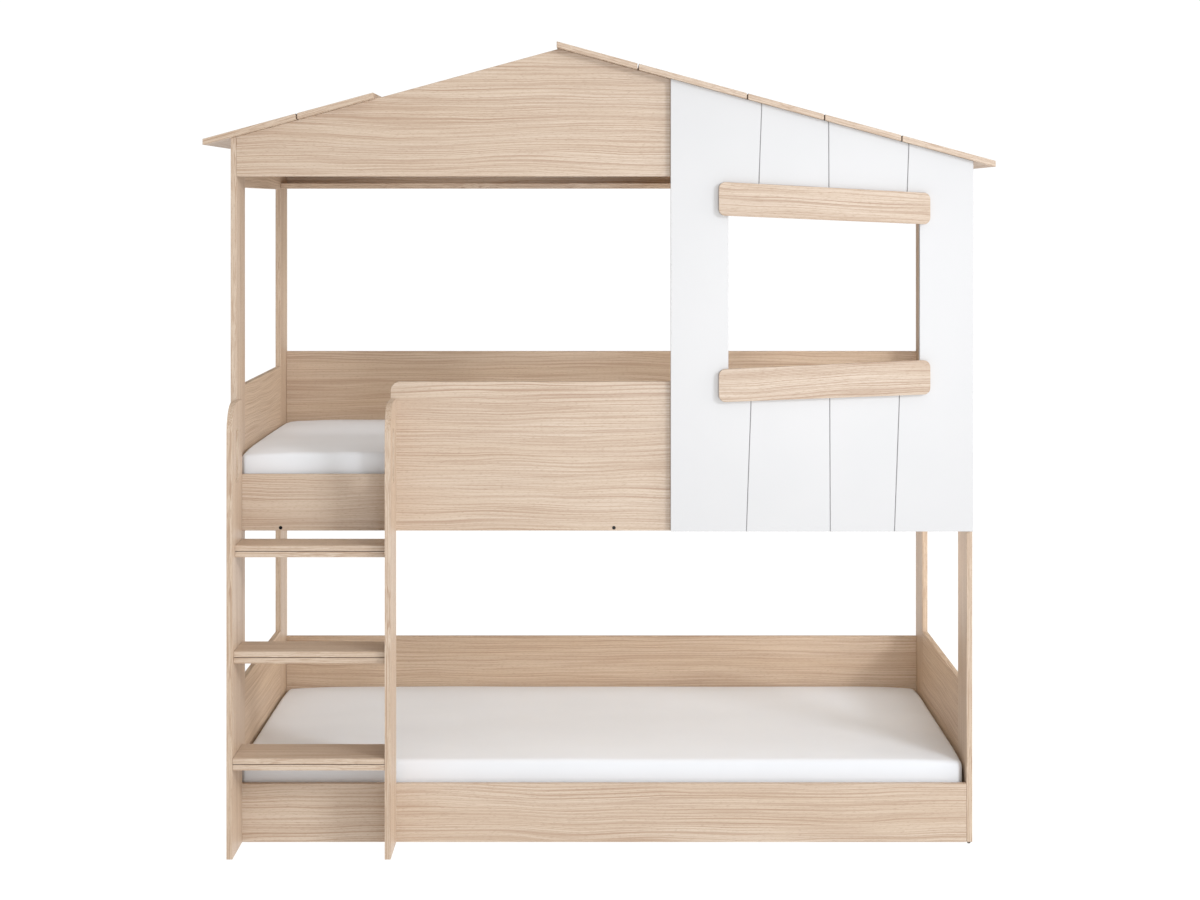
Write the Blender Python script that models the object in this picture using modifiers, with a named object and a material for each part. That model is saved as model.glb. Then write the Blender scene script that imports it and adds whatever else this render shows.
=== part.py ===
"""House-shaped bunk bed of faced board: a loft bunk over a floor bunk, under an off-centre roof.

X runs along the bed, Y away from the ladder side and Z up, in metres. The origin is on the floor, under
the middle of the whole object. Places are worked out in the bed's own frame, whose zero is the middle of the
bed's length at the front faces of its boards, and one empty carries them all to the origin.
"""

import math

import bmesh
import bpy
from mathutils import Vector

# Board stock
BOARD = 0.016
EDGE_BREAK = 0.0008
SEAT_GAP = 0.0003
MERGE_DISTANCE = 0.00003
FLAT_ANGLE_DEGREES = 1
OVERRUN = 0.010
CORNER_STEPS = 6
TURN_STEPS = 16

# Mattresses: the 90 by 200 cm size in its cover
MATTRESS_LENGTH = 2.011
MATTRESS_WIDTH = 0.924
MATTRESS_THICKNESS = 0.139
MATTRESS_CROWN = 0.011
MATTRESS_CROWN_POWER = 4
MATTRESS_SIDE_DRAW = 0.004
MATTRESS_EDGE_ROUND = 0.024
MATTRESS_CUTS = 5

# Bed box
MATTRESS_END_GAP = 0.0045
MATTRESS_SIDE_GAP = 0.005
FOOT_HEIGHT = 0.0065
LOFT_BASE_Z = 0.868

# End frames
STILE_WIDTH = 0.145
LOWER_END_PANEL_HEIGHT = 0.4205
UPPER_END_PANEL_HEIGHT = 0.392
END_RAIL_BOTTOM_Z = 1.818

# Front and back boards
LOWER_RAIL_HEIGHT = 0.1615
LOFT_RAIL_HEIGHT = 0.156
GUARD_HEIGHT = 0.412
GUARD_CORNER_RADIUS = 0.025
LOWER_BACK_HEIGHT = 0.3795
UPPER_BACK_HEIGHT = 0.432

# Roof and gables
RIDGE_X_SHARE = -0.1164
RIGHT_RAIL_HEIGHT = 0.072
ROOF_PITCH_DEGREES = 15.24
LEFT_EAVE_OVERHANG = 0.0725
RIGHT_EAVE_OVERHANG = 0.0593
ROOF_FRONT_OVERHANG = 0.030
ROOF_REAR_OVERHANG = 0.014
RIDGE_LIP = 0.006
ROOF_JOINT_GAP = 0.0035
LEFT_JOINT_SHARES = (0, 0.2635, 0.4807)
RIGHT_JOINT_SHARES = (0, 0.1858, 0.4348, 0.6102, 0.7863, 1)
FRONT_GABLE_STEP = 0.030
TOP_BOARD_STEP = 0.003

# Facade panel and its window
FACADE_WIDTH = 0.835
WINDOW_LENGTH = 0.528
WINDOW_HEAD_DROP = 0.035
WINDOW_SILL_DROP = 0.009
WINDOW_RIGHT_MARGIN = 0.148
GROOVE_DEPTH = 0.0018
GROOVE_TOP_SHARES = (0.3006, 0.5216, 0.7868)
GROOVE_BOTTOM_SHARES = (0.2497, 0.5269, 0.7389)
WINDOW_BOARD_OVERHANG = 0.027
WINDOW_BOARD_RADIUS = 0.018
# How far each end of a window board reaches below and above the window's edge: left end, then right end.
HEAD_BOARD_REACH = ((-0.043, 0.050), (-0.068, 0.019))
SILL_BOARD_REACH = ((-0.045, 0.045), (-0.023, 0.071))

# Ladder
LADDER_CLEAR_WIDTH = 0.4102
LADDER_SIDE_DEPTH = 0.160
LADDER_TOP_RISE = 0.208
LADDER_TOP_RADIUS = 0.078
GRIP_LENGTH = 0.150
GRIP_WIDTH = 0.040
GRIP_DROP = 0.072
STEP_COUNT = 3
FIRST_STEP_Z = 0.278
LAST_STEP_DROP = 0.178
FIRST_STEP_SETBACK = 0.002
STEP_SETBACK = 0.019

# Bed bases
LEDGE_SIZE = 0.025
LEDGE_END_CLEARANCE = 0.030
LOWER_LEDGE_RISE = 0.048
UPPER_LEDGE_RISE = 0.040
SLAT_COUNT = 13
SLAT_WIDTH = 0.068
SLAT_THICKNESS = 0.018
SLAT_END_CLEARANCE = 0.010
TAPE_WIDTH = 0.025
TAPE_THICKNESS = 0.0015
TAPE_INSET = 0.110
TAPE_EMBED = 0.0004
CROSS_BOARD_WIDTH = 0.100
CROSS_BOARD_SHARES = (-0.879, 0.034, 0.879)

# Fasteners and feet
BOLT_LENGTH = 0.050
BOLT_HEAD_RADIUS = 0.0050
BOLT_HEAD_THICKNESS = 0.0025
BOLT_SHANK_RADIUS = 0.0022
BOLT_CLEARANCE = 0.0003
GLIDE_RADIUS = 0.0048
GLIDE_ROUND = 0.0014
GLIDE_INSET = 0.012

# Places that follow from the sizes
BED_INNER_LENGTH = MATTRESS_LENGTH + 2 * MATTRESS_END_GAP
BED_INNER_DEPTH = MATTRESS_WIDTH + 2 * MATTRESS_SIDE_GAP
END_INNER_X = BED_INNER_LENGTH / 2
END_OUTER_X = END_INNER_X + BOARD
BACK_FACE_Y = BOARD + BED_INNER_DEPTH
BED_REAR_Y = BACK_FACE_Y + BOARD
REAR_STILE_Y = BED_REAR_Y - STILE_WIDTH
LOWER_RAIL_TOP_Z = FOOT_HEIGHT + LOWER_RAIL_HEIGHT
LOFT_RAIL_TOP_Z = LOFT_BASE_Z + LOFT_RAIL_HEIGHT
GUARD_TOP_Z = LOFT_BASE_Z + GUARD_HEIGHT
RIDGE_X = RIDGE_X_SHARE * END_INNER_X
ROOF_SLOPE = math.tan(math.radians(ROOF_PITCH_DEGREES))
ROOF_RISE_THICKNESS = BOARD / math.cos(math.radians(ROOF_PITCH_DEGREES))
LEFT_EAVE_X = -END_OUTER_X - LEFT_EAVE_OVERHANG
RIGHT_EAVE_X = END_OUTER_X + RIGHT_EAVE_OVERHANG
RIDGE_UNDERSIDE_Z = END_RAIL_BOTTOM_Z + RIGHT_RAIL_HEIGHT + ROOF_SLOPE * (END_OUTER_X - RIDGE_X)
RIDGE_END_X = RIDGE_X - RIDGE_LIP
FRONT_GABLE_BOTTOM_Z = END_RAIL_BOTTOM_Z + FRONT_GABLE_STEP
TOP_BOARD_BOTTOM_Z = END_RAIL_BOTTOM_Z + TOP_BOARD_STEP
FACADE_LEFT_X = END_OUTER_X - FACADE_WIDTH
FACADE_FRONT_Y = -SEAT_GAP - BOARD
WINDOW_RIGHT_X = END_OUTER_X - WINDOW_RIGHT_MARGIN
WINDOW_LEFT_X = WINDOW_RIGHT_X - WINDOW_LENGTH
WINDOW_HEAD_Z = END_RAIL_BOTTOM_Z - WINDOW_HEAD_DROP
WINDOW_SILL_Z = GUARD_TOP_Z - WINDOW_SILL_DROP
LADDER_LEFT_FACE_X = -END_INNER_X + BOARD
LADDER_RIGHT_FACE_X = LADDER_LEFT_FACE_X + LADDER_CLEAR_WIDTH
LADDER_FRONT_Y = -LADDER_SIDE_DEPTH
LADDER_MIDDLE_Y = LADDER_FRONT_Y / 2
LADDER_BACK_Y = -SEAT_GAP
LADDER_TOP_Z = LOFT_RAIL_TOP_Z + LADDER_TOP_RISE
GRIP_TOP_Z = LADDER_TOP_Z - GRIP_DROP
GRIP_BOTTOM_Z = GRIP_TOP_Z - GRIP_LENGTH
STEP_PITCH = (LOFT_RAIL_TOP_Z - LAST_STEP_DROP - FIRST_STEP_Z) / (STEP_COUNT - 1)
LOWER_LEDGE_Z = FOOT_HEIGHT + LOWER_LEDGE_RISE
UPPER_LEDGE_Z = LOFT_BASE_Z + UPPER_LEDGE_RISE
LEDGE_END_X = END_INNER_X - LEDGE_END_CLEARANCE

# Finishes: colour, roughness and metallic
OAK = ((0.687, 0.515, 0.366), 0.45, 0)
PINE = ((0.73, 0.58, 0.40), 0.6, 0)
WHITE_LACQUER = ((0.89, 0.89, 0.90), 0.35, 0)
MATTRESS_WHITE = ((0.80, 0.79, 0.78), 0.9, 0)
BLACK_STEEL = ((0.02, 0.02, 0.02), 0.4, 0.6)
DARK_BROWN = ((0.05, 0.035, 0.03), 0.5, 0)


def clear_scene():
    for old in list(bpy.data.objects):
        bpy.data.objects.remove(old, do_unlink=True)


def new_collection(name):
    collection = bpy.data.collections.new(name)
    bpy.context.scene.collection.children.link(collection)
    return collection


clear_scene()
PARTS = new_collection("house_bunk_bed")
CUTTERS = new_collection("cutters")

# The empty stands in the middle of the plan, so that the origin falls there.
CARRIER = bpy.data.objects.new("bed_frame_origin", None)
CARRIER.location = (-(LEFT_EAVE_X + RIGHT_EAVE_X) / 2,
                    -(LADDER_FRONT_Y + BED_REAR_Y + ROOF_REAR_OVERHANG) / 2, 0)
PARTS.objects.link(CARRIER)


def finished(name, finish):
    """One Principled material."""
    colour, roughness, metallic = finish
    material = bpy.data.materials.new(name)
    material.use_nodes = True
    shader = material.node_tree.nodes["Principled BSDF"]
    shader.inputs["Base Color"].default_value = (*colour, 1)
    shader.inputs["Roughness"].default_value = roughness
    shader.inputs["Metallic"].default_value = metallic
    return material


def add_part(name, mesh, finish):
    """Put a mesh into the bed's collection, under the carrier, with a material of its own."""
    part = bpy.data.objects.new(name, mesh)
    mesh.materials.clear()
    mesh.materials.append(finished(name, finish))
    PARTS.objects.link(part)
    part.parent = CARRIER
    return part


def add_cutter(name, mesh):
    """Put a mesh into the cutters' collection, hidden from the render."""
    cutter = bpy.data.objects.new(name, mesh)
    CUTTERS.objects.link(cutter)
    cutter.parent = CARRIER
    cutter.hide_render = True
    cutter.display_type = "WIRE"
    return cutter


def break_edges(part, width=EDGE_BREAK):
    """Take the sharpness off the edges, as edge banding does."""
    bevel = part.modifiers.new("edge_break", "BEVEL")
    bevel.width = width
    bevel.segments = 1
    bevel.limit_method = "ANGLE"


def combine(part, other, operation):
    """Cut another object out of a part, or join it to the part."""
    modifier = part.modifiers.new(f"{operation.lower()}_{other.name}", "BOOLEAN")
    modifier.operation = operation
    modifier.solver = "EXACT"
    modifier.object = other


def box_mesh(name, size):
    """A box of the given size around its own middle."""
    mesh = bpy.data.meshes.new(name)
    shape = bmesh.new()
    bmesh.ops.create_cube(shape, size=1)
    bmesh.ops.scale(shape, vec=size, verts=shape.verts)
    shape.to_mesh(mesh)
    shape.free()
    return mesh


def add_board(name, low, high, finish=OAK):
    """A straight board between two opposite corners."""
    size = [top - bottom for bottom, top in zip(low, high)]
    board = add_part(name, box_mesh(name, size), finish)
    board.location = [(bottom + top) / 2 for bottom, top in zip(low, high)]
    break_edges(board)
    return board


def rounded(corners):
    """Outline points from (x, y, radius) corners, with an arc where the radius isn't zero."""
    points = []
    for index, (x, y, radius) in enumerate(corners):
        corner = Vector((x, y))
        if radius == 0:
            points.append(corner)
            continue
        before = (Vector(corners[index - 1][:2]) - corner).normalized()
        after = (Vector(corners[(index + 1) % len(corners)][:2]) - corner).normalized()
        half_angle = before.angle(after) / 2
        centre = corner + (before + after).normalized() * radius / math.sin(half_angle)
        reach = radius / math.tan(half_angle)
        start = corner + before * reach - centre
        end = corner + after * reach - centre
        first = math.atan2(start.y, start.x)
        turn = (math.atan2(end.y, end.x) - first + math.pi) % (2 * math.pi) - math.pi
        for step in range(CORNER_STEPS + 1):
            angle = first + turn * step / CORNER_STEPS
            points.append(centre + radius * Vector((math.cos(angle), math.sin(angle))))
    return points


def plate_mesh(name, outlines, thickness):
    """A flat plate: the first outline filled, with the others as holes, around its own middle plane."""
    curve = bpy.data.curves.new(name, "CURVE")
    curve.dimensions = "2D"
    curve.fill_mode = "BOTH"
    curve.extrude = thickness / 2
    for outline in outlines:
        spline = curve.splines.new("POLY")
        spline.points.add(len(outline) - 1)
        for point, (x, y) in zip(spline.points, outline):
            point.co = (x, y, 0, 1)
        spline.use_cyclic_u = True
    flat = bpy.data.objects.new(name + "_outline", curve)
    CUTTERS.objects.link(flat)
    bpy.context.view_layer.update()
    graph = bpy.context.evaluated_depsgraph_get()
    mesh = bpy.data.meshes.new_from_object(flat.evaluated_get(graph))
    mesh.name = name
    bpy.data.objects.remove(flat, do_unlink=True)
    shape = bmesh.new()
    shape.from_mesh(mesh)
    bmesh.ops.remove_doubles(shape, verts=shape.verts, dist=MERGE_DISTANCE)
    bmesh.ops.dissolve_limit(shape, angle_limit=math.radians(FLAT_ANGLE_DEGREES),
                             verts=shape.verts, edges=shape.edges)
    bmesh.ops.recalc_face_normals(shape, faces=shape.faces)
    shape.to_mesh(mesh)
    shape.free()
    return mesh


def add_upright_plate(name, outlines, low_y, high_y, finish=OAK):
    """A plate whose outline is drawn in X and Z and whose thickness runs along Y."""
    plate = add_part(name, plate_mesh(name, outlines, high_y - low_y), finish)
    plate.rotation_euler = (math.pi / 2, 0, 0)
    plate.location = (0, (low_y + high_y) / 2, 0)
    break_edges(plate)
    return plate


def add_side_plate(name, outlines, low_x, high_x):
    """A plate whose outline is drawn in Y and Z and whose thickness runs along X."""
    plate = add_part(name, plate_mesh(name, outlines, high_x - low_x), OAK)
    plate.rotation_euler = (math.pi / 2, 0, math.pi / 2)
    plate.location = ((low_x + high_x) / 2, 0, 0)
    break_edges(plate)
    return plate


def turned_mesh(name, profile):
    """A closed turned solid from (radius, height) points, given from the top down."""
    mesh = bpy.data.meshes.new(name)
    edges = [(index, index + 1) for index in range(len(profile) - 1)]
    mesh.from_pydata([(radius, 0, height) for radius, height in profile], edges, [])
    return mesh


def turn(part):
    """Spin the profile of a turned solid round its own Z axis."""
    screw = part.modifiers.new("turning", "SCREW")
    screw.steps = TURN_STEPS
    screw.render_steps = TURN_STEPS
    screw.use_merge_vertices = True
    screw.merge_threshold = MERGE_DISTANCE


def roof_underside(x):
    """Height of the roof's underside over a place along the bed."""
    return RIDGE_UNDERSIDE_Z - ROOF_SLOPE * abs(x - RIDGE_X)


def under_roof(left_x, right_x, bottom_z):
    """Outline of a board that fills the space from a bottom edge up to the roof."""
    tops = [(right_x, roof_underside(right_x) - SEAT_GAP)]
    if left_x < RIDGE_X < right_x:
        tops.append((RIDGE_X, roof_underside(RIDGE_X) - SEAT_GAP))
    tops.append((left_x, roof_underside(left_x) - SEAT_GAP))
    return [(left_x, bottom_z), (right_x, bottom_z)] + tops


def add_end_frame(side, inner_x, outer_x):
    """Two stiles, a top rail and two panels, all butted edge to edge in one plane."""
    left_x, right_x = sorted((inner_x, outer_x))
    panel_front_y = STILE_WIDTH + SEAT_GAP
    panel_back_y = REAR_STILE_Y - SEAT_GAP
    stile = under_roof(left_x, right_x, FOOT_HEIGHT)
    add_upright_plate(f"{side}_front_stile", [stile], 0, STILE_WIDTH)
    add_upright_plate(f"{side}_rear_stile", [stile], REAR_STILE_Y, BED_REAR_Y)
    rail = under_roof(left_x, right_x, END_RAIL_BOTTOM_Z)
    add_upright_plate(f"{side}_top_rail", [rail], panel_front_y, panel_back_y)
    add_board(f"{side}_upper_end_panel", (left_x, panel_front_y, LOFT_BASE_Z),
              (right_x, panel_back_y, LOFT_BASE_Z + UPPER_END_PANEL_HEIGHT))
    add_board(f"{side}_lower_end_panel", (left_x, panel_front_y, FOOT_HEIGHT),
              (right_x, panel_back_y, FOOT_HEIGHT + LOWER_END_PANEL_HEIGHT))


def add_front_boards():
    """The lower rail and the notched loft board, which is a rail at the ladder and a guard beside it."""
    left_x = -END_INNER_X + SEAT_GAP
    right_x = END_INNER_X - SEAT_GAP
    add_board("lower_front_rail", (left_x, 0, FOOT_HEIGHT), (right_x, BOARD, LOWER_RAIL_TOP_Z))
    corners = [(left_x, LOFT_BASE_Z, 0), (right_x, LOFT_BASE_Z, 0), (right_x, GUARD_TOP_Z, 0),
               (LADDER_RIGHT_FACE_X, GUARD_TOP_Z, GUARD_CORNER_RADIUS),
               (LADDER_RIGHT_FACE_X, LOFT_RAIL_TOP_Z, 0), (left_x, LOFT_RAIL_TOP_Z, 0)]
    return add_upright_plate("upper_front_panel", [rounded(corners)], 0, BOARD)


def add_back_boards():
    """The two back panels, the rear gable and the flat board that stiffens it."""
    left_x = -END_INNER_X + SEAT_GAP
    right_x = END_INNER_X - SEAT_GAP
    add_board("lower_back_panel", (left_x, BACK_FACE_Y, FOOT_HEIGHT),
              (right_x, BED_REAR_Y, FOOT_HEIGHT + LOWER_BACK_HEIGHT))
    add_board("upper_back_panel", (left_x, BACK_FACE_Y, LOFT_BASE_Z),
              (right_x, BED_REAR_Y, LOFT_BASE_Z + UPPER_BACK_HEIGHT))
    add_upright_plate("rear_gable", [under_roof(left_x, right_x, TOP_BOARD_BOTTOM_Z)],
                      BACK_FACE_Y, BED_REAR_Y)
    add_board("rear_top_board", (left_x, REAR_STILE_Y, TOP_BOARD_BOTTOM_Z),
              (right_x, BACK_FACE_Y - SEAT_GAP, TOP_BOARD_BOTTOM_Z + BOARD))
    add_upright_plate("front_gable", [under_roof(left_x, right_x, FRONT_GABLE_BOTTOM_Z)], 0, BOARD)


def add_roof_planks(side, start_x, end_x, joint_shares):
    """Planks that run from front to back, side by side along one slope."""
    run = end_x - start_x
    joints = [start_x + share * run for share in joint_shares]
    for number, (joint, next_joint) in enumerate(zip(joints, joints[1:]), start=1):
        left_x, right_x = sorted((joint, next_joint))
        left_x += ROOF_JOINT_GAP / 2 if left_x not in (start_x, end_x) else 0
        right_x -= ROOF_JOINT_GAP / 2 if right_x not in (start_x, end_x) else 0
        slope = -ROOF_SLOPE if end_x > RIDGE_X else ROOF_SLOPE
        heights = [RIDGE_UNDERSIDE_Z + slope * (x - RIDGE_X) for x in (left_x, right_x)]
        outline = [(left_x, heights[0]), (right_x, heights[1]),
                   (right_x, heights[1] + ROOF_RISE_THICKNESS), (left_x, heights[0] + ROOF_RISE_THICKNESS)]
        add_upright_plate(f"roof_plank_{side}_{number}", [outline],
                          -ROOF_FRONT_OVERHANG, BED_REAR_Y + ROOF_REAR_OVERHANG)


def add_facade():
    """The white panel that covers the right half of the front, with a window and routed grooves."""
    outline = under_roof(FACADE_LEFT_X, END_OUTER_X, LOFT_BASE_Z)
    window = [(WINDOW_LEFT_X, WINDOW_SILL_Z), (WINDOW_RIGHT_X, WINDOW_SILL_Z),
              (WINDOW_RIGHT_X, WINDOW_HEAD_Z), (WINDOW_LEFT_X, WINDOW_HEAD_Z)]
    facade = add_upright_plate("facade_panel", [outline, window], FACADE_FRONT_Y, -SEAT_GAP,
                               WHITE_LACQUER)
    # A square bar stands on edge, half of it in front of the face, so that only its V reaches in.
    bar_radius = 2 * GROOVE_DEPTH
    bar_y = FACADE_FRONT_Y - GROOVE_DEPTH
    for number, shares in enumerate(zip(GROOVE_TOP_SHARES, GROOVE_BOTTOM_SHARES), start=1):
        top_x, bottom_x = [FACADE_LEFT_X + share * FACADE_WIDTH for share in shares]
        top = Vector((top_x, bar_y, roof_underside(top_x)))
        bottom = Vector((bottom_x, bar_y, LOFT_BASE_Z))
        length = (top - bottom).length + 2 * OVERRUN
        mesh = bpy.data.meshes.new(f"groove_cutter_{number}")
        shape = bmesh.new()
        bmesh.ops.create_cone(shape, cap_ends=True, segments=4, radius1=bar_radius,
                              radius2=bar_radius, depth=length)
        shape.to_mesh(mesh)
        shape.free()
        cutter = add_cutter(mesh.name, mesh)
        cutter.location = (top + bottom) / 2
        cutter.rotation_euler = (0, math.atan2(top_x - bottom_x, top.z - bottom.z), 0)
        combine(facade, cutter, "DIFFERENCE")


def add_window_board(name, edge_z, reach):
    """A board with round corners, laid a little askew over one edge of the window."""
    left_x = WINDOW_LEFT_X - WINDOW_BOARD_OVERHANG
    right_x = WINDOW_RIGHT_X + WINDOW_BOARD_OVERHANG
    (left_low, left_high), (right_low, right_high) = reach
    corners = [(left_x, edge_z + left_low, WINDOW_BOARD_RADIUS),
               (right_x, edge_z + right_low, WINDOW_BOARD_RADIUS),
               (right_x, edge_z + right_high, WINDOW_BOARD_RADIUS),
               (left_x, edge_z + left_high, WINDOW_BOARD_RADIUS)]
    back_y = FACADE_FRONT_Y - SEAT_GAP
    add_upright_plate(name, [rounded(corners)], back_y - BOARD, back_y)


def add_ladder_side(name, left_x, right_x):
    """An upright board with a rounded top and a slot to hold on by."""
    outline = rounded([(LADDER_FRONT_Y, FOOT_HEIGHT, 0), (LADDER_BACK_Y, FOOT_HEIGHT, 0),
                       (LADDER_BACK_Y, LADDER_TOP_Z, 0), (LADDER_FRONT_Y, LADDER_TOP_Z, LADDER_TOP_RADIUS)])
    grip_radius = GRIP_WIDTH / 2
    front_y = LADDER_MIDDLE_Y - grip_radius
    back_y = LADDER_MIDDLE_Y + grip_radius
    grip = rounded([(front_y, GRIP_BOTTOM_Z, grip_radius), (back_y, GRIP_BOTTOM_Z, grip_radius),
                    (back_y, GRIP_TOP_Z, grip_radius), (front_y, GRIP_TOP_Z, grip_radius)])
    add_side_plate(name, [outline, grip], left_x, right_x)


def add_ladder():
    """Two sides and three steps of two boards each, which stand further back the higher they are."""
    add_ladder_side("ladder_left_side", LADDER_LEFT_FACE_X - BOARD, LADDER_LEFT_FACE_X)
    add_ladder_side("ladder_right_side", LADDER_RIGHT_FACE_X, LADDER_RIGHT_FACE_X + BOARD)
    left_x = LADDER_LEFT_FACE_X + SEAT_GAP
    right_x = LADDER_RIGHT_FACE_X - SEAT_GAP
    for step in range(STEP_COUNT):
        top_z = FIRST_STEP_Z + step * STEP_PITCH
        front_y = LADDER_FRONT_Y + FIRST_STEP_SETBACK + step * STEP_SETBACK
        add_board(f"ladder_tread_{step + 1}", (left_x, front_y, top_z - BOARD),
                  (right_x, LADDER_BACK_Y, top_z))
        base_top_z = top_z - BOARD - SEAT_GAP
        add_board(f"ladder_tread_base_{step + 1}", (left_x, front_y, base_top_z - BOARD),
                  (right_x, LADDER_BACK_Y, base_top_z))


def add_bed_base(bunk, ledge_z):
    """Two ledges, a roll of slats across them, and the mattress on the slats."""
    ledge_top_z = ledge_z + LEDGE_SIZE
    front_ledge_y = BOARD + SEAT_GAP
    back_ledge_y = BACK_FACE_Y - SEAT_GAP
    add_board(f"{bunk}_front_ledge", (-LEDGE_END_X, front_ledge_y, ledge_z),
              (LEDGE_END_X, front_ledge_y + LEDGE_SIZE, ledge_top_z), PINE)
    add_board(f"{bunk}_back_ledge", (-LEDGE_END_X, back_ledge_y - LEDGE_SIZE, ledge_z),
              (LEDGE_END_X, back_ledge_y, ledge_top_z), PINE)
    slat_bottom_z = ledge_top_z + SEAT_GAP
    add_slat_roll(bunk, slat_bottom_z)
    add_mattress(bunk, slat_bottom_z + SLAT_THICKNESS + SEAT_GAP)


def add_slat_roll(bunk, bottom_z):
    """Slats side by side across the bed, held at their pitch by two tapes stapled under them."""
    slat_length = BED_INNER_DEPTH - 2 * SLAT_END_CLEARANCE
    last_x = LEDGE_END_X - SLAT_WIDTH / 2
    pitch = 2 * last_x / (SLAT_COUNT - 1)
    middle_y = BOARD + BED_INNER_DEPTH / 2
    mesh = bpy.data.meshes.new(f"{bunk}_slats")
    shape = bmesh.new()
    for number in range(SLAT_COUNT):
        slat = bmesh.ops.create_cube(shape, size=1)["verts"]
        bmesh.ops.scale(shape, vec=(SLAT_WIDTH, slat_length, SLAT_THICKNESS), verts=slat)
        bmesh.ops.translate(shape, vec=(number * pitch - last_x, 0, 0), verts=slat)
    shape.to_mesh(mesh)
    shape.free()
    roll = add_part(f"{bunk}_slat_roll", mesh, PINE)
    roll.location = (0, middle_y, bottom_z + SLAT_THICKNESS / 2)
    tape_size = (2 * last_x, TAPE_WIDTH, TAPE_THICKNESS + TAPE_EMBED)
    for side, name in ((-1, "front"), (1, "back")):
        tape = add_cutter(f"{bunk}_{name}_tape", box_mesh(f"{bunk}_{name}_tape", tape_size))
        tape.location = (0, middle_y + side * (slat_length / 2 - TAPE_INSET),
                         bottom_z - (TAPE_THICKNESS - TAPE_EMBED) / 2)
        combine(roll, tape, "UNION")


def add_mattress(bunk, bottom_z):
    """A foam mattress: flat below, crowned on top, its sides drawn in between the corners."""
    mesh = bpy.data.meshes.new(f"{bunk}_mattress")
    shape = bmesh.new()
    bmesh.ops.create_cube(shape, size=2)
    bmesh.ops.subdivide_edges(shape, edges=shape.edges, cuts=MATTRESS_CUTS, use_grid_fill=True)
    ring_share = 1 - 2 / (MATTRESS_CUTS + 1)
    halves = (MATTRESS_LENGTH / 2, MATTRESS_WIDTH / 2, MATTRESS_THICKNESS / 2)
    for vert in shape.verts:
        u, v, w = vert.co
        place = []
        for share, half in zip((u, v, w), halves):
            inner = share / ring_share * (half - MATTRESS_EDGE_ROUND)
            place.append(math.copysign(half, share) if abs(share) > (1 + ring_share) / 2 else inner)
        along, across, up = place
        along -= MATTRESS_SIDE_DRAW * math.copysign(1 - v * v, u) * (abs(u) > ring_share)
        across -= MATTRESS_SIDE_DRAW * math.copysign(1 - u * u, v) * (abs(v) > ring_share)
        lift = (1 - u ** MATTRESS_CROWN_POWER) * (1 - v ** MATTRESS_CROWN_POWER)
        up -= MATTRESS_CROWN * (1 - lift) * (w > 0) * w
        vert.co = (along, across, up)
    shape.to_mesh(mesh)
    shape.free()
    mesh.shade_smooth()
    mattress = add_part(f"{bunk}_mattress", mesh, MATTRESS_WHITE)
    mattress.location = (0, BOARD + BED_INNER_DEPTH / 2, bottom_z + MATTRESS_THICKNESS / 2)
    smoothing = mattress.modifiers.new("smoothing", "SUBSURF")
    smoothing.levels = 1
    smoothing.render_levels = 1


def add_cross_boards(front_panel):
    """Flat boards under the loft, each held by a countersunk bolt through the front panel."""
    head_y = SEAT_GAP
    neck_y = head_y + BOLT_HEAD_THICKNESS
    for number, share in enumerate(CROSS_BOARD_SHARES, start=1):
        middle_x = share * END_INNER_X
        board = add_board(f"cross_board_{number}",
                          (middle_x - CROSS_BOARD_WIDTH / 2, BOARD + SEAT_GAP, LOFT_BASE_Z),
                          (middle_x + CROSS_BOARD_WIDTH / 2, BACK_FACE_Y - SEAT_GAP, LOFT_BASE_Z + BOARD))
        bolt_profile = [(0, -head_y), (BOLT_HEAD_RADIUS, -head_y), (BOLT_HEAD_RADIUS, -neck_y),
                        (BOLT_SHANK_RADIUS, -neck_y), (BOLT_SHANK_RADIUS, -BOLT_LENGTH), (0, -BOLT_LENGTH)]
        bolt = add_part(f"cross_bolt_{number}", turned_mesh(f"cross_bolt_{number}", bolt_profile),
                        BLACK_STEEL)
        sink_radius = BOLT_HEAD_RADIUS + BOLT_CLEARANCE
        bore_radius = BOLT_SHANK_RADIUS + BOLT_CLEARANCE
        sink_y = neck_y + BOLT_CLEARANCE
        end_y = BOLT_LENGTH + BOLT_CLEARANCE
        bore_profile = [(0, OVERRUN), (sink_radius, OVERRUN), (sink_radius, -sink_y),
                        (bore_radius, -sink_y), (bore_radius, -end_y), (0, -end_y)]
        bore = add_cutter(f"bolt_bore_{number}", turned_mesh(f"bolt_bore_{number}", bore_profile))
        for piece in (bolt, bore):
            turn(piece)
            piece.rotation_euler = (math.pi / 2, 0, 0)
            piece.location = (middle_x, 0, LOFT_BASE_Z + BOARD / 2)
        combine(front_panel, bore, "DIFFERENCE")
        combine(board, bore, "DIFFERENCE")


def add_glides():
    """Nail-on glides under the outer corners of the stiles and the middle of the ladder sides."""
    stile_x = (END_INNER_X + END_OUTER_X) / 2
    places = {"glide_left_front": (-stile_x, GLIDE_INSET),
              "glide_left_rear": (-stile_x, BED_REAR_Y - GLIDE_INSET),
              "glide_right_front": (stile_x, GLIDE_INSET),
              "glide_right_rear": (stile_x, BED_REAR_Y - GLIDE_INSET),
              "glide_ladder_left": (LADDER_LEFT_FACE_X - BOARD / 2, LADDER_MIDDLE_Y),
              "glide_ladder_right": (LADDER_RIGHT_FACE_X + BOARD / 2, LADDER_MIDDLE_Y)}
    top_z = FOOT_HEIGHT - SEAT_GAP
    profile = [(0, top_z), (GLIDE_RADIUS, top_z), (GLIDE_RADIUS, GLIDE_ROUND),
               (GLIDE_RADIUS - GLIDE_ROUND, 0), (0, 0)]
    for name, (x, y) in places.items():
        glide = add_part(name, turned_mesh(name, profile), DARK_BROWN)
        turn(glide)
        glide.location = (x, y, 0)


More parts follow.
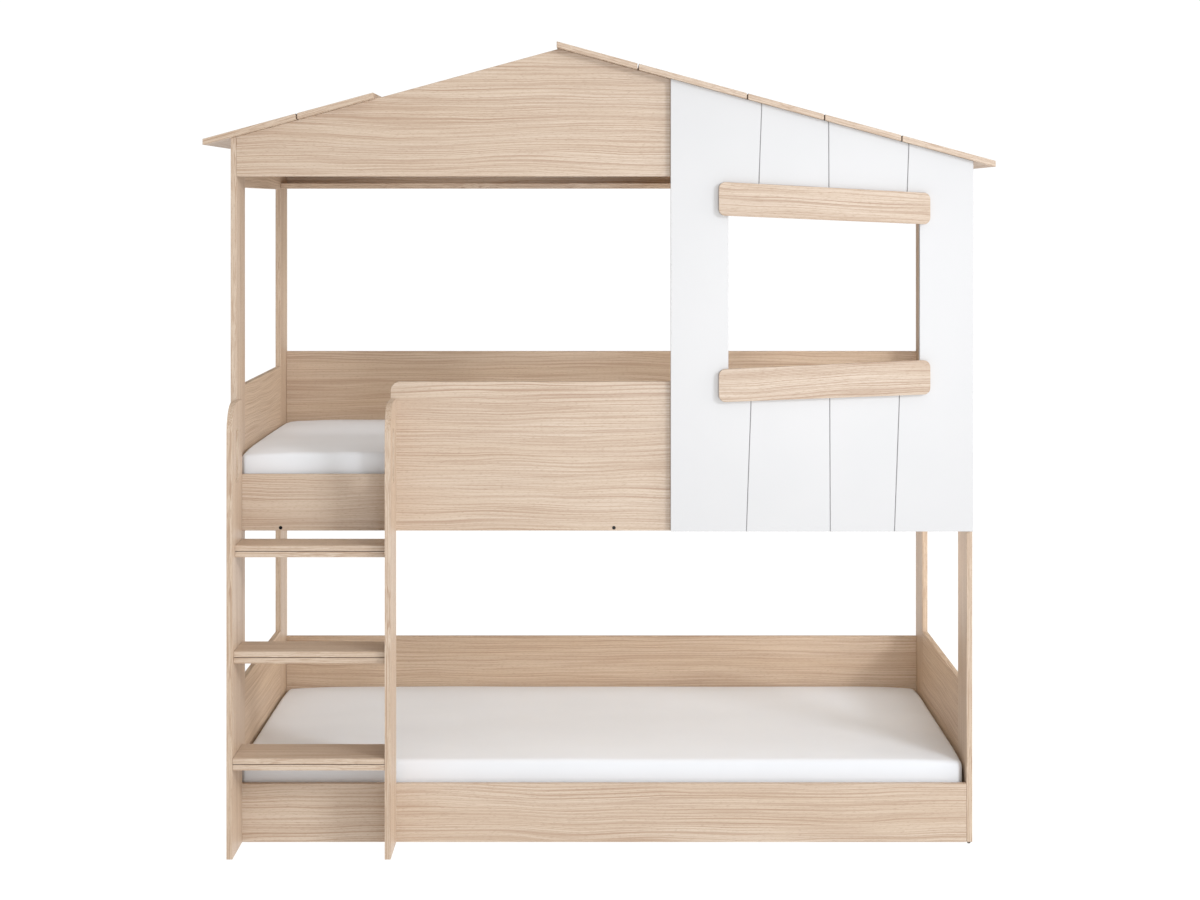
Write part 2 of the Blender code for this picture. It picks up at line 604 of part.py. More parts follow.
add_end_frame("left", -END_INNER_X, -END_OUTER_X)
add_end_frame("right", END_INNER_X, END_OUTER_X)
loft_front_panel = add_front_boards()
add_back_boards()
add_roof_planks("left", LEFT_EAVE_X, RIDGE_X, LEFT_JOINT_SHARES)
add_roof_planks("right", RIDGE_END_X, RIGHT_EAVE_X, RIGHT_JOINT_SHARES)
add_facade()
add_window_board("window_head_board", WINDOW_HEAD_Z, HEAD_BOARD_REACH)
add_window_board("window_sill_board", WINDOW_SILL_Z, SILL_BOARD_REACH)
add_ladder()
add_bed_base("lower", LOWER_LEDGE_Z)
add_bed_base("upper", UPPER_LEDGE_Z)
add_cross_boards(loft_front_panel)
add_glides()
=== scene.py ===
import itertools
import math

import bpy
import numpy as np
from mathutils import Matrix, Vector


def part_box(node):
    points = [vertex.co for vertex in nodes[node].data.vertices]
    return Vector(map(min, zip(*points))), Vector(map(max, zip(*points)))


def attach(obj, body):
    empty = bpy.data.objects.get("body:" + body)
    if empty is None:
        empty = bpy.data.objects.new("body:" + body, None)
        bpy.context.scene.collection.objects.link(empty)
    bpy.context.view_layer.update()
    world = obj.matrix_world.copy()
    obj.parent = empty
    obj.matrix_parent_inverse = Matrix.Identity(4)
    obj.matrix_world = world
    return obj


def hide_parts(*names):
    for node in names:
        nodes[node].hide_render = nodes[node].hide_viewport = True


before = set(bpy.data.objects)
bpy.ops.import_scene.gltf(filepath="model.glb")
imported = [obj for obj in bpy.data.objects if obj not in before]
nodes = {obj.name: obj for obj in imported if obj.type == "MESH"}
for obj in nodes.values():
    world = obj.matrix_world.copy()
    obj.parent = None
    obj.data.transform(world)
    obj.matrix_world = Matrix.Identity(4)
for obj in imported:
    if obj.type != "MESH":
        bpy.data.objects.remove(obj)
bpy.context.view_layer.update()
scene = bpy.context.scene

# The photograph is taken square on to the ladder side, from the eye height of a standing adult, six metres
# away. The bed hangs low in the picture because the camera looks level and its lens is shifted down.
LENS_MM = 64.74
SENSOR_MM = 36
EYE = (0.0066, -6.38, 1.769)
LENS_SHIFT = (-0.00125, -0.2042)

camera_data = bpy.data.cameras.new("camera")
camera_data.lens = LENS_MM
camera_data.sensor_width = SENSOR_MM
camera_data.shift_x, camera_data.shift_y = LENS_SHIFT
camera = bpy.data.objects.new("camera", camera_data)
camera.location = EYE
camera.rotation_euler = (math.pi / 2, 0, 0)
scene.collection.objects.link(camera)
scene.camera = camera


# Two end frames carry the bed. Each is made of five boards of 16 mm particle board, faced and edged with a
# pale printed oak: two upright stiles, a top rail and two panels between them, joined edge to edge.
class Signal:
    """One output of a shader tree. A sum written with it becomes Math nodes."""

    def __init__(self, tree, socket):
        self.tree = tree
        self.socket = socket

    def node(self, kind, settings, inputs, output=0):
        """Any other node: its settings come first, then the values or links of its sockets."""
        made = self.tree.nodes.new("ShaderNode" + kind)
        for name, value in settings.items():
            if name == "stops":
                for position, _ in value[2:]:
                    made.color_ramp.elements.new(position)
                for element, (position, grey) in zip(made.color_ramp.elements, sorted(value)):
                    element.position = position
                    element.color = (grey, grey, grey, 1)
            else:
                setattr(made, name, value)
        for name, value in inputs.items():
            if isinstance(value, Signal):
                self.tree.links.new(value.socket, made.inputs[name])
            else:
                made.inputs[name].default_value = value
        return Signal(self.tree, made.outputs[output])

    def maths(self, operation, *terms):
        return self.node("Math", {"operation": operation}, dict(enumerate(terms)))

    def __add__(self, other):
        return self.maths("ADD", self, other)

    def __sub__(self, other):
        return self.maths("SUBTRACT", self, other)

    def __rsub__(self, other):
        return self.maths("SUBTRACT", other, self)

    def __mul__(self, other):
        return self.maths("MULTIPLY", self, other)

    def __gt__(self, other):
        return self.maths("GREATER_THAN", self, other)

    def __lt__(self, other):
        return self.maths("LESS_THAN", self, other)

    __radd__ = __add__
    __rmul__ = __mul__

    def steps(self, *stops):
        """The signal through a ramp of (position, grey) stops."""
        return self.node("ValToRGB", {"stops": stops}, {"Fac": self})

    def noise(self, lengths, shift, detail=2.0):
        """Noise whose lumps are as long in metres as lengths says, moved by shift lumps."""
        shares = [1 / length for length in lengths]
        place = self.node("VectorMath", {"operation": "MULTIPLY_ADD"}, {0: self, 1: shares, 2: shift})
        return self.node("TexNoise", {}, {"Vector": place, "Scale": 1.0, "Detail": detail, "Roughness": 0.5})

    def blend(self, first, second):
        """A colour between two others, by this signal."""
        return self.node("Mix", {"data_type": "RGBA"}, {0: self, 6: first, 7: second}, 2)


def new_material(name, roughness):
    """A material, its Principled shader and the place on the piece as a signal."""
    material = bpy.data.materials.new(name)
    material.use_nodes = True
    tree = material.node_tree
    shader = tree.nodes["Principled BSDF"]
    shader.inputs["Roughness"].default_value = roughness
    place = Signal(tree, tree.nodes.new("ShaderNodeTexCoord").outputs["Object"])
    return material, shader, place


def link(shader, name, signal):
    signal.tree.links.new(signal.socket, shader.inputs[name])


def emboss(shader, height, depth):
    """Feed a height of 0 to 1, which stands for depth metres, to the shader's normal."""
    link(shader, "Normal", height.node("Bump", {}, {"Height": height, "Distance": depth, "Strength": 1.0}))


OAK_OUTER = ((0.586, 0.463, 0.354, 1), (0.545, 0.412, 0.298, 1))
# Painted shade: a warmer, more saturated copy of the oak ground for the boards that stand in shade inside the
# bed.
OAK_PAINTED_SHADE = ((0.600, 0.456, 0.328, 1), (0.560, 0.404, 0.272, 1))
OAK_STREAK = (0.355, 0.222, 0.140, 1)
OAK_PORE = (0.285, 0.172, 0.105, 1)
STREAK_INK = 0.95
FIBRE_INK = 0.55
PORE_INK = 0.36
OAK_GLOSS = 0.42
OAK_DULLED = 0.07
OAK_SPECULAR = 0.22
OAK_RELIEF = 0.00012
# Painted shade: the dark colour of the shadow line painted along each joint between boards.
SEAM_PAINTED_SHADE = (0.085, 0.050, 0.032, 1)
SEAM_REACH = 0.0011
END_GRAIN_LIMIT = 0.8
GRAIN_ORDER = {"x": (0, 2, 1), "y": (1, 2, 0), "z": (2, 1, 0), "flat x": (0, 1, 2), "flat y": (1, 0, 2)}
board_numbers = itertools.count(1)


def oak_decor(node_name, grain, tilt=0.0, seams=(), ground=OAK_OUTER):
    """Printed oak whose grain runs along one axis. On the board's ends it runs along the edge band.

    Place is (along, across, through). The ground varies between its two colours in bands, which are 0.7 m by
    60 mm lumps. On it lie streaks, 1.6 m by 2.4 mm lumps that wander by up to 10 mm, fibres of 0.3 m by 1.9 mm
    and pores of 12 mm by 1.2 mm. The boards inside the bed, which stand in shade, are given a warmer, more
    saturated ground as painted shade. A painted shadow line darkens the colour within SEAM_REACH of each
    seam, which is an axis of the board and a place on it.
    """
    number = next(board_numbers)
    shift = (1.73 * number, 3.41 * number, 2.29 * number)
    material, shader, place = new_material(node_name + "_oak", OAK_GLOSS)
    shader.inputs["Specular IOR Level"].default_value = OAK_SPECULAR
    facing = Signal(place.tree, place.tree.nodes.new("ShaderNodeNewGeometry").outputs["Normal"])
    if tilt:
        place = place.node("VectorRotate", {"rotation_type": "Y_AXIS"}, {"Vector": place, "Angle": tilt})
    x, y, z = (place.node("SeparateXYZ", {}, {0: place}, axis) for axis in range(3))
    along, across, through = ((x, y, z)[axis] for axis in GRAIN_ORDER[grain])
    on_end = facing.node("SeparateXYZ", {}, {0: facing}, GRAIN_ORDER[grain][0])
    on_end = on_end.maths("ABSOLUTE", on_end) > END_GRAIN_LIMIT
    face = place.node("CombineXYZ", {}, {0: along, 1: across, 2: through})
    end = place.node("CombineXYZ", {}, {0: across, 1: along, 2: through})
    face = place.node("Mix", {"data_type": "VECTOR"}, {0: on_end, 4: face, 5: end}, 1)
    wander = (face.noise((0.50, 0.16, 0.16), shift) - 0.5) * 0.045
    drift = face.node("CombineXYZ", {}, {0: 0.0, 1: wander, 2: 0.0})
    face = face.node("VectorMath", {"operation": "ADD"}, {0: face, 1: drift})
    bands = face.noise((0.7, 0.060, 0.060), shift).steps((0.28, 0), (0.72, 1))
    streaks = face.noise((1.60, 0.0024, 0.0024), shift, 1.0).steps((0.56, 0), (0.62, 1))
    strength = face.noise((0.60, 0.050, 0.050), shift).steps((0.36, 0.45), (0.64, 0.95))
    fibres = face.noise((0.30, 0.0019, 0.0019), shift, 1.0).steps((0.46, 0), (0.62, 1))
    pores = face.noise((0.012, 0.0012, 0.0012), shift, 1.0).steps((0.58, 0), (0.68, 1))
    colour = bands.blend(*ground)
    streaks = streaks * strength
    colour = (streaks * STREAK_INK).blend(colour, OAK_STREAK)
    colour = (fibres * FIBRE_INK).blend(colour, OAK_STREAK)
    colour = (pores * PORE_INK).blend(colour, OAK_PORE)
    # Painted shade: a dark shadow line along each seam.
    for axis, seam in seams:
        away = (x, y, z)[axis] - seam
        colour = (away.maths("ABSOLUTE", away) < SEAM_REACH).blend(colour, SEAM_PAINTED_SHADE)
    link(shader, "Base Color", colour)
    link(shader, "Roughness", OAK_GLOSS + (pores + fibres) * OAK_DULLED)
    emboss(shader, 1 - (streaks * 0.3 + pores * 0.7), OAK_RELIEF)
    nodes[node_name].material_slots[0].material = material


# The rear stiles, top rails and end panels stand in shade inside the bed, so they get the warmer painted-shade
# ground.
for side in ("left", "right"):
    oak_decor(f"{side}_front_stile", "z")
    oak_decor(f"{side}_rear_stile", "z", ground=OAK_PAINTED_SHADE)
    for piece in ("top_rail", "upper_end_panel", "lower_end_panel"):
        oak_decor(f"{side}_{piece}", "y", ground=OAK_PAINTED_SHADE)

# Brown plastic glides are nailed under the stiles and the ladder sides, so that the boards' edges stay clear
# of a wet floor. They are moulded, with a fine spark-eroded skin.
GLIDE_BROWN = (0.045, 0.030, 0.024, 1)
GLIDE_WORN = (0.085, 0.062, 0.050, 1)
GLIDE_GLOSS = 0.42
GLIDE_RELIEF = 0.00005

material, shader, place = new_material("glide_plastic", GLIDE_GLOSS)
speckle = place.noise((0.0006, 0.0006, 0.0006), (0, 0, 0))
scuffs = place.noise((0.004, 0.0015, 0.004), (5, 5, 5)).steps((0.5, 0), (0.7, 1))
link(shader, "Base Color", scuffs.blend(GLIDE_BROWN, GLIDE_WORN))
link(shader, "Roughness", GLIDE_GLOSS + speckle * 0.2)
emboss(shader, speckle, GLIDE_RELIEF)
for name in ("left_front", "left_rear", "right_front", "right_rear", "ladder_left", "ladder_right"):
    nodes["glide_" + name].material_slots[0].material = material

# Long boards tie the end frames together: the lower rail, the notched guard board of the loft and the two
# back panels. Two gables close the roof's ends, and a flat board stiffens the rear one.
for name in ("lower_front_rail", "upper_front_panel"):
    oak_decor(name, "x")
# The back panels stand in shade and get the warmer painted-shade ground.
for name in ("lower_back_panel", "upper_back_panel"):
    oak_decor(name, "x", ground=OAK_PAINTED_SHADE)
for name in ("front_gable", "rear_gable"):
    oak_decor(name, "x")
# The rear top board stands in shade and gets the warmer painted-shade ground.
oak_decor("rear_top_board", "flat x", ground=OAK_PAINTED_SHADE)

# The roof is seven planks that run from front to back, two on the left slope and five on the right. They are
# butted with open joints, and painted shade darkens each joint to a dark line that shows at the eaves.
ROOF_SLOPE = math.radians(15.24)
PLANKS = {"left": (2, ROOF_SLOPE), "right": (5, -ROOF_SLOPE)}

for side, (count, slope) in PLANKS.items():
    planks = [f"roof_plank_{side}_{number}" for number in range(1, count + 1)]
    edges = []
    for name in planks:
        corners = np.array([vertex.co for vertex in nodes[name].data.vertices])
        reach = corners[:, 0] * math.cos(slope) + corners[:, 2] * math.sin(slope)
        edges.append((reach.min(), reach.max()))
    joints = np.sort(edges, None)[1:-1]
    for name, ends in zip(planks, edges):
        oak_decor(name, "flat y", slope, [(0, end) for end in ends if end in joints])

# The white panel is lacquered fibreboard with three hand-drawn looking grooves routed into its face, and a
# window. The lacquer is sprayed, so it has a faint orange peel. Grey painted shade fills the floor of each
# groove on the front face.
LACQUER_WHITE = (0.571, 0.573, 0.585, 1)
LACQUER_SHADE = (0.557, 0.561, 0.574, 1)
# Painted shade: the grey painted into the grooves' floors.
GROOVE_PAINTED_SHADE = (0.26, 0.26, 0.27, 1)
LACQUER_GLOSS = 0.36
LACQUER_SPECULAR = 0.22
PEEL_RELIEF = 0.00004
FRONT_FACING = -0.4

material, shader, place = new_material("facade_lacquer", LACQUER_GLOSS)
shader.inputs["Specular IOR Level"].default_value = LACQUER_SPECULAR
facing = Signal(place.tree, place.tree.nodes.new("ShaderNodeNewGeometry").outputs["Normal"])
in_front = facing.node("SeparateXYZ", {}, {0: facing}, 1) < FRONT_FACING
depth = place.node("SeparateXYZ", {}, {0: place}, 1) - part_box("facade_panel")[0].y
# Painted shade: the groove floor, deeper than 1 mm on the front face, is painted grey.
groove_shade = (depth * 1000).steps((0.5, 0), (1.0, 1)) * in_front
clouds = place.noise((0.22, 0.22, 0.22), (3, 7, 1)).steps((0.35, 0), (0.65, 1))
peel = place.noise((0.0035, 0.0035, 0.0035), (0, 0, 0), 1.0)
link(shader, "Base Color", groove_shade.blend(clouds.blend(LACQUER_WHITE, LACQUER_SHADE), GROOVE_PAINTED_SHADE))
link(shader, "Roughness", LACQUER_GLOSS + peel * 0.06)
emboss(shader, peel, PEEL_RELIEF)
nodes["facade_panel"].material_slots[0].material = material

# Two round-cornered boards are screwed from behind over the window's head and sill, each a little askew.
HEAD_TILT = math.radians(-3.0)
SILL_TILT = math.radians(2.6)

oak_decor("window_head_board", "x", HEAD_TILT)
oak_decor("window_sill_board", "x", SILL_TILT)

# The ladder has two sides with a rounded top and a grip slot, and three steps of two boards each, glued face
# to face, with a fine shadow line painted along the joint between them.
for side in ("left", "right"):
    oak_decor(f"ladder_{side}_side", "z")
for number in range(1, 4):
    glued_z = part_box(f"ladder_tread_{number}")[0].z
    oak_decor(f"ladder_tread_{number}", "flat x", seams=[(2, glued_z)])
    oak_decor(f"ladder_tread_base_{number}", "flat x", seams=[(2, glued_z)])

# Each bunk has two ledges of planed pine screwed to its long boards, and a roll of pine slats on them, held
# at their pitch by two webbing tapes stapled under their ends.
PINE_LIGHT = (0.780, 0.640, 0.450, 1)
PINE_RING = (0.640, 0.440, 0.250, 1)
PINE_KNOT = (0.300, 0.160, 0.080, 1)
PINE_GLOSS = 0.58
PINE_RELIEF = 0.0003
TAPE_WHITE = (0.72, 0.71, 0.68, 1)
TAPE_RIBS = 1000


def pine(node_name, grain, tape_top_z=None):
    """Planed pine: rings are 0.9 m by 9 mm lumps cut into lines, and knots are rare dark cells.

    Below tape_top_z the piece is webbing, woven in ribs 2 mm apart.
    """
    number = next(board_numbers)
    shift = (1.73 * number, 3.41 * number, 2.29 * number)
    material, shader, place = new_material(node_name + "_pine", PINE_GLOSS)
    x, y, z = (place.node("SeparateXYZ", {}, {0: place}, axis) for axis in range(3))
    along, across, through = ((x, y, z)[axis] for axis in GRAIN_ORDER[grain])
    face = place.node("CombineXYZ", {}, {0: along, 1: across, 2: through})
    wander = (face.noise((0.30, 0.06, 0.06), shift) - 0.5) * 0.03
    drift = face.node("CombineXYZ", {}, {0: 0.0, 1: wander, 2: wander})
    face = face.node("VectorMath", {"operation": "ADD"}, {0: face, 1: drift})
    rings = face.noise((0.9, 0.009, 0.009), shift, 1.0)
    rings = rings.maths("PINGPONG", rings * 6, 1.0).steps((0.45, 0), (0.95, 1))
    knots = face.node("VectorMath", {"operation": "MULTIPLY_ADD"}, {0: face, 1: (4.0, 9.0, 9.0), 2: shift})
    knots = knots.node("TexVoronoi", {}, {"Vector": knots, "Scale": 1.0}, 0).steps((0.03, 1), (0.09, 0))
    fibres = face.noise((0.12, 0.0015, 0.0015), shift, 1.0)
    colour = (rings * 0.7).blend(PINE_LIGHT, PINE_RING)
    colour = (knots * 0.85).blend(colour, PINE_KNOT)
    height = fibres * 0.5 + (1 - rings) * 0.3
    if tape_top_z is not None:
        webbing = z < tape_top_z
        ribs = x.maths("PINGPONG", x * TAPE_RIBS, 1.0)
        colour = webbing.blend(colour, TAPE_WHITE)
        height = height * (1 - webbing) + ribs * webbing
    link(shader, "Base Color", colour)
    link(shader, "Roughness", PINE_GLOSS + fibres * 0.1)
    emboss(shader, height, PINE_RELIEF)
    nodes[node_name].material_slots[0].material = material


for bunk in ("lower", "upper"):
    for ledge in ("front_ledge", "back_ledge"):
        pine(f"{bunk}_{ledge}", "x")
    slat_bottom_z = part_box(f"{bunk}_front_ledge")[1].z
    pine(f"{bunk}_slat_roll", "y", slat_bottom_z)

# Three flat boards cross under the loft, each held by a black countersunk bolt whose head shows as a dot on
# the guard board.
BOLT_BLACK = (0.002, 0.002, 0.002, 1)
BOLT_BRIGHT = (0.015, 0.015, 0.015, 1)
BOLT_GLOSS = 0.32
BOLT_SPECULAR = 0.08

material, shader, place = new_material("bolt_black", BOLT_GLOSS)
shader.inputs["Specular IOR Level"].default_value = BOLT_SPECULAR
rub = place.noise((0.002, 0.002, 0.002), (0, 0, 0)).steps((0.55, 0), (0.75, 1))
link(shader, "Base Color", rub.blend(BOLT_BLACK, BOLT_BRIGHT))
link(shader, "Roughness", BOLT_GLOSS + rub * 0.2)
for number in range(1, 4):
    oak_decor(f"cross_board_{number}", "flat y")
    nodes[f"cross_bolt_{number}"].material_slots[0].material = material

# The mattresses are foam in a white knitted cover. The cover is two halves joined by a seam round the sides,
# low enough for the rail to hide it, and it swells a little between its edges.
EDGE_ROUND = 0.014
CORNER_ROUND = 0.013
CORNER_DROP = 0.009
DROP_REACH = 0.20
EDGE_ANGLES = np.radians((22.5, 45.0))
CELL = 0.016
SWELL_UP = 0.007
SWELL_OUT = 0.0015
PULL_IN = 0.0006
PRESSURE = 4
LAST_FRAME = 20
SEAM_SHARE = 0.34
SEAM_BAND = 0.010
COVER_WHITE = (0.748, 0.768, 0.803, 1)
COVER_SHADE = (0.725, 0.745, 0.779, 1)
COVER_GLOSS = 0.84
COVER_SHEEN = 0.15
KNIT_LINES = 700
KNIT_LEAN = 60
KNIT_RELIEF = 0.00025
SLACK = 0.0007
PIPING_RADIUS = 0.0022
PIPING_SIDES = 8


def lattice_places(half):
    """Places along one axis: even cells inside, then steps that make even angles on the rounded edge."""
    flat = half - EDGE_ROUND
    inner = np.linspace(-flat, flat, max(2, round(2 * flat / CELL)) + 1)
    edge = flat + EDGE_ROUND * np.tan(EDGE_ANGLES)
    return np.concatenate((-edge[::-1], inner, edge))


def padded_shell(halves):
    """A closed rounded block on a lattice.

    A lattice point q on the plain block moves to c + r * (q - c) / |q - c|, where c is q held inside the
    block that is smaller by the edge's radius r.
    """
    axes = [lattice_places(half) for half in halves]
    points, faces, count = [], [], 0
    for axis in range(3):
        first, second = [other for other in range(3) if other != axis]
        if axis == 1:
            first, second = second, first
        rows, columns = len(axes[first]), len(axes[second])
        grid = np.arange(rows * columns).reshape(rows, columns)
        quads = np.stack((grid[:-1, :-1], grid[1:, :-1], grid[1:, 1:], grid[:-1, 1:]), -1).reshape(-1, 4)
        for end in (-1, 1):
            sheet = np.empty((rows, columns, 3))
            sheet[..., first] = axes[first][:, None]
            sheet[..., second] = axes[second][None, :]
            sheet[..., axis] = end * halves[axis]
            points.append(sheet.reshape(-1, 3))
            faces.append((quads if end > 0 else quads[:, ::-1]) + count)
            count += rows * columns
    points = np.concatenate(points)
    points, where = np.unique(points.round(6), axis=0, return_inverse=True)
    inside = np.clip(points, -np.array(halves) + EDGE_ROUND, np.array(halves) - EDGE_ROUND)
    away = points - inside
    points = inside + EDGE_ROUND * away / np.linalg.norm(away, axis=1, keepdims=True)
    return points, where.reshape(-1)[np.concatenate(faces)]


def new_piece(name, points, faces):
    mesh = bpy.data.meshes.new(name)
    mesh.from_pydata(points.tolist(), [], faces.tolist())
    mesh.shade_smooth()
    piece = bpy.data.objects.new(name, mesh)
    scene.collection.objects.link(piece)
    return piece


def swollen(points, faces, seam_z):
    """The shell blown up as cloth, with its seam held and its underside flat on the slats.

    The top rises by SWELL_UP * sqrt(m / greatest m), where m is a point's simulated rise. A sideways move m
    is held to SWELL_OUT * tanh(m / SWELL_OUT), and none goes inwards by more than PULL_IN, because the corners
    are stiff.
    """
    piece = new_piece("mattress_form", points, faces)
    seam = piece.vertex_groups.new(name="seam")
    seam.add(np.flatnonzero(np.abs(points[:, 2] - seam_z) < SEAM_BAND).tolist(), 1.0, "REPLACE")
    cloth = piece.modifiers.new("swelling", "CLOTH")
    cloth.settings.use_pressure = True
    cloth.settings.uniform_pressure_force = PRESSURE
    cloth.settings.effector_weights.gravity = 0
    cloth.settings.vertex_group_mass = seam.name
    cloth.point_cache.frame_end = LAST_FRAME
    for number in range(1, LAST_FRAME + 1):
        scene.frame_set(number)
    graph = bpy.context.evaluated_depsgraph_get()
    blown = np.empty(points.size)
    piece.evaluated_get(graph).data.vertices.foreach_get("co", blown)
    scene.frame_set(1)
    bpy.data.objects.remove(piece)
    move = blown.reshape(-1, 3) - points
    outwards = np.sign(points[:, :2])
    move[:, :2] = outwards * np.maximum(outwards * SWELL_OUT * np.tanh(move[:, :2] / SWELL_OUT), -PULL_IN)
    rise = np.clip(move[:, 2], 0, None) * (points[:, 2] > 0)
    move[:, 2] = SWELL_UP * np.sqrt(rise / rise.max())
    return points + move


def cornered(points, halves):
    """Round the four upright corners in plan and let the top sink there.

    In the corner's square of side CORNER_ROUND a place (a, b) moves to (a, b) * max(a, b) / hypot(a, b). The
    top sinks by CORNER_DROP * (u * v) ** 2, where u and v rise from 0 to 1 over the last DROP_REACH of each
    side.
    """
    result = points.copy()
    past = np.clip(np.abs(points[:, :2]) - (halves[:2] - CORNER_ROUND), 0, None)
    share = past.max(1) / np.maximum(np.linalg.norm(past, axis=1), 1e-9)
    kept = np.where(past.min(1) > 0, share, 1)[:, None]
    result[:, :2] -= np.sign(points[:, :2]) * past * (1 - kept)
    spread = np.clip(1 - (halves[:2] - np.abs(points[:, :2])) / DROP_REACH, 0, 1)
    result[:, 2] -= CORNER_DROP * spread.prod(1) ** 2 * (points[:, 2] > 0)
    return result


def relaxed(points, turn):
    """Slack in the cover: low waves, sin(x) * sin(y) of two lengths, that fade out down the sides."""
    x, y, z = points.T
    waves = (np.sin(7.1 * x + 2.3 * y + turn) * np.sin(5.7 * y - 1.9 * x + 2 * turn)
             + 0.5 * np.sin(15.3 * x - 4.4 * y + 3 * turn) * np.sin(11.9 * y + 3.7 * x + turn))
    result = points.copy()
    result[:, 2] += SLACK * waves * np.clip(z / z.max(), 0, 1)
    return result


def ring_cord(path):
    """A cord along a closed level path: circles of PIPING_RADIUS that stand square to it."""
    ahead = np.roll(path, -1, 0) - np.roll(path, 1, 0)
    ahead /= np.linalg.norm(ahead, axis=1, keepdims=True)
    aside = np.cross(ahead, (0, 0, 1))
    turns = np.arange(PIPING_SIDES) * math.tau / PIPING_SIDES
    circle = aside[:, None] * np.cos(turns)[:, None] + np.array((0, 0, 1)) * np.sin(turns)[:, None]
    points = path[:, None] + PIPING_RADIUS * circle
    grid = np.arange(len(path) * PIPING_SIDES).reshape(len(path), PIPING_SIDES)
    beyond, above = np.roll(grid, -1, 0), np.roll(grid, -1, 1)
    faces = np.stack((grid, beyond, np.roll(beyond, -1, 1), above), -1)
    return points.reshape(-1, 3), faces.reshape(-1, 4)


cad_low, cad_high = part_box("lower_mattress")
size = np.array(cad_high) - np.array(cad_low)
halves = size / 2
start_halves = halves - np.array((SWELL_OUT, SWELL_OUT, SWELL_UP / 2))
seam_z = (2 * SEAM_SHARE - 1) * start_halves[2]
shell_points, shell_faces = padded_shell(start_halves)
body_points = swollen(shell_points, shell_faces, seam_z)

levels = np.unique(shell_points[:, 2])
seam_level = levels[np.abs(levels - seam_z).argmin()]
seam_ring = np.flatnonzero(shell_points[:, 2] == seam_level)
seam_angles = np.arctan2(*(shell_points[seam_ring, :2] / start_halves[:2]).T[::-1])
seam_ring = seam_ring[seam_angles.argsort()]

material, shader, place = new_material("mattress_cover", COVER_GLOSS)
shader.inputs["Sheen Weight"].default_value = COVER_SHEEN
shader.inputs["Sheen Roughness"].default_value = 0.5
x, y, z = (place.node("SeparateXYZ", {}, {0: place}, axis) for axis in range(3))
courses = x.maths("PINGPONG", x * KNIT_LINES + y * KNIT_LEAN, 1.0)
wales = x.maths("PINGPONG", (y + z) * KNIT_LINES - x * KNIT_LEAN, 1.0)
knit = courses * wales
soft = place.noise((0.30, 0.18, 0.18), (2, 4, 6)).steps((0.35, 0), (0.7, 1))
link(shader, "Base Color", soft.blend(COVER_WHITE, COVER_SHADE))
link(shader, "Roughness", COVER_GLOSS + knit * 0.1)
emboss(shader, knit, KNIT_RELIEF)

for bunk, turn in (("lower", 0.4), ("upper", 2.9)):
    cad_low, cad_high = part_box(f"{bunk}_mattress")
    centre = (np.array(cad_low) + np.array(cad_high)) / 2
    points = relaxed(cornered(body_points, start_halves), turn)
    low, high = points.min(0), points.max(0)
    points = (points - (low + high) / 2) * (size / (high - low)) + centre
    cover = new_piece(f"{bunk}_mattress_cover", points, shell_faces)
    piping = new_piece(f"{bunk}_mattress_piping", *ring_cord(points[seam_ring]))
    for piece in (cover, piping):
        piece.data.materials.append(material)
        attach(piece, f"{bunk}_mattress_body")
    smoothing = cover.modifiers.new("smoothing", "SUBSURF")
    smoothing.levels = smoothing.render_levels = 1
    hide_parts(f"{bunk}_mattress")

# The floor is a plain white sweep. A white sky, brighter from the right, fills the shadows. One soft lamp
# stands to the right of the camera, one beside the camera only gives the boards their sheen, and a weak one
# lights the right end frame. Small fill lamps shine back into the bunks.
FLOOR_HALF = 14.0
FLOOR_WHITE = (0.14, 0.14, 0.14, 1)
FLOOR_GLOW = 0.97
FLOOR_TINT = (1, 0.998, 0.993, 1)
SKY_LIGHT = 0.75
SKY_TINT = (1, 0.975, 0.94, 1)
SKY_TILT = (0.74, -0.05, 0.28)
SKY_SEEN = 1.05
SKY_MIRRORED = 0.12
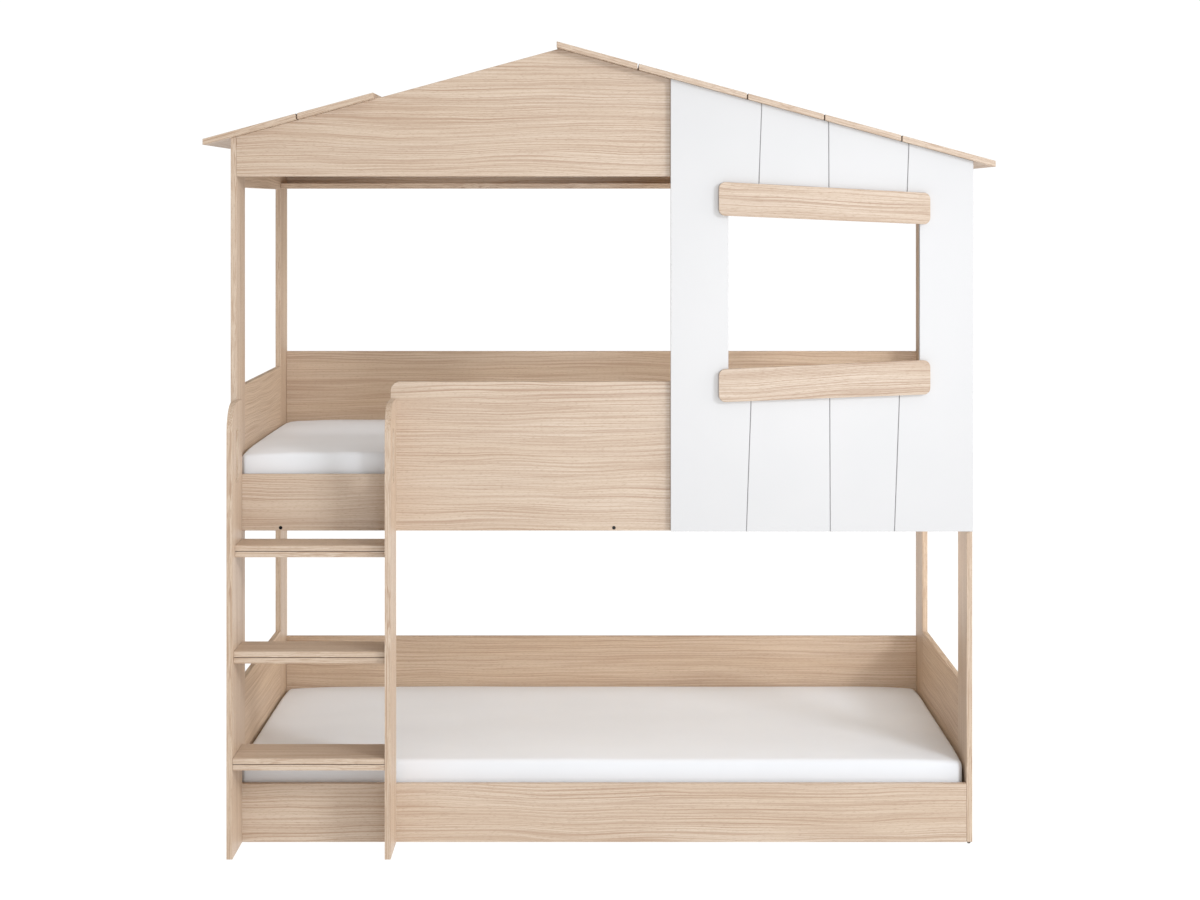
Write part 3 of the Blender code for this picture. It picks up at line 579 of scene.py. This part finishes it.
# Place, degrees above level, degrees turned to the left, length, height, watts, what its light does, colour.
LAMPS = {
    "key_lamp": ((4.35, -4.83, 3.3), -20, 42, 1.5, 0.8, 164, "both", (0.96, 1, 1.06)),
    "sheen_lamp": ((1.2, -6.9, 1.2), 0, 9, 1.6, 1.6, 500, "glossy", (1, 1, 1)),
    "side_lamp": ((8.0, -2.4, 1.6), 0, 76, 2.5, 2.5, 75, "diffuse", (1, 0.99, 0.97)),
    "lower_left_fill": ((-0.22, -0.30, 0.70), 32, 8, 0.6, 0.25, 1.6, "diffuse", (1, 0.93, 0.85)),
    "lower_right_fill": ((0.48, -0.24, 0.70), 32, -21, 0.6, 0.25, 2.1, "diffuse", (1, 0.93, 0.85)),
    "window_fill": ((0.68, -0.36, 1.66), -20, 0, 0.4, 0.22, 3.1, "diffuse", (1, 0.98, 0.97)),
}
PRINT_GAMMA = 1.15

corners = np.array(((-1, -1, 0), (1, -1, 0), (1, 1, 0), (-1, 1, 0))) * FLOOR_HALF
floor = new_piece("floor", corners, np.array(((0, 1, 2, 3),)))
material, shader, _ = new_material("floor_white", 0.9)
shader.inputs["Base Color"].default_value = FLOOR_WHITE
shader.inputs["Specular IOR Level"].default_value = 0.0
shader.inputs["Emission Color"].default_value = FLOOR_TINT
shader.inputs["Emission Strength"].default_value = FLOOR_GLOW
floor.data.materials.append(material)

world = bpy.data.worlds.new("sky")
scene.world = world
world.use_nodes = True
tree = world.node_tree
sky = tree.nodes["Background"]
rays = tree.nodes.new("ShaderNodeLightPath")
seen, mirrored = (Signal(tree, rays.outputs[name]) for name in ("Is Camera Ray", "Is Glossy Ray"))
towards = Signal(tree, tree.nodes.new("ShaderNodeTexCoord").outputs["Generated"])
light = SKY_LIGHT + towards.node("VectorMath", {"operation": "DOT_PRODUCT"}, {0: towards, 1: SKY_TILT}, 1)
light = light * (1 - mirrored) + mirrored * SKY_MIRRORED
tree.links.new(seen.blend(SKY_TINT, (1, 1, 1, 1)).socket, sky.inputs["Color"])
tree.links.new((light * (1 - seen) + seen * SKY_SEEN).socket, sky.inputs["Strength"])

for name, (location, rise, turn, length, height, watts, work, colour) in LAMPS.items():
    lamp_data = bpy.data.lights.new(name, "AREA")
    lamp_data.energy = watts
    lamp_data.color = colour
    lamp_data.shape = "RECTANGLE"
    lamp_data.size, lamp_data.size_y = length, height
    lamp = bpy.data.objects.new(name, lamp_data)
    lamp.location = location
    lamp.rotation_euler = (math.pi / 2 + math.radians(rise), 0, math.radians(turn))
    lamp.visible_camera = False
    lamp.visible_diffuse = work != "glossy"
    lamp.visible_glossy = work != "diffuse"
    scene.collection.objects.link(lamp)
scene.view_settings.view_transform = "Standard"
scene.view_settings.gamma = PRINT_GAMMA
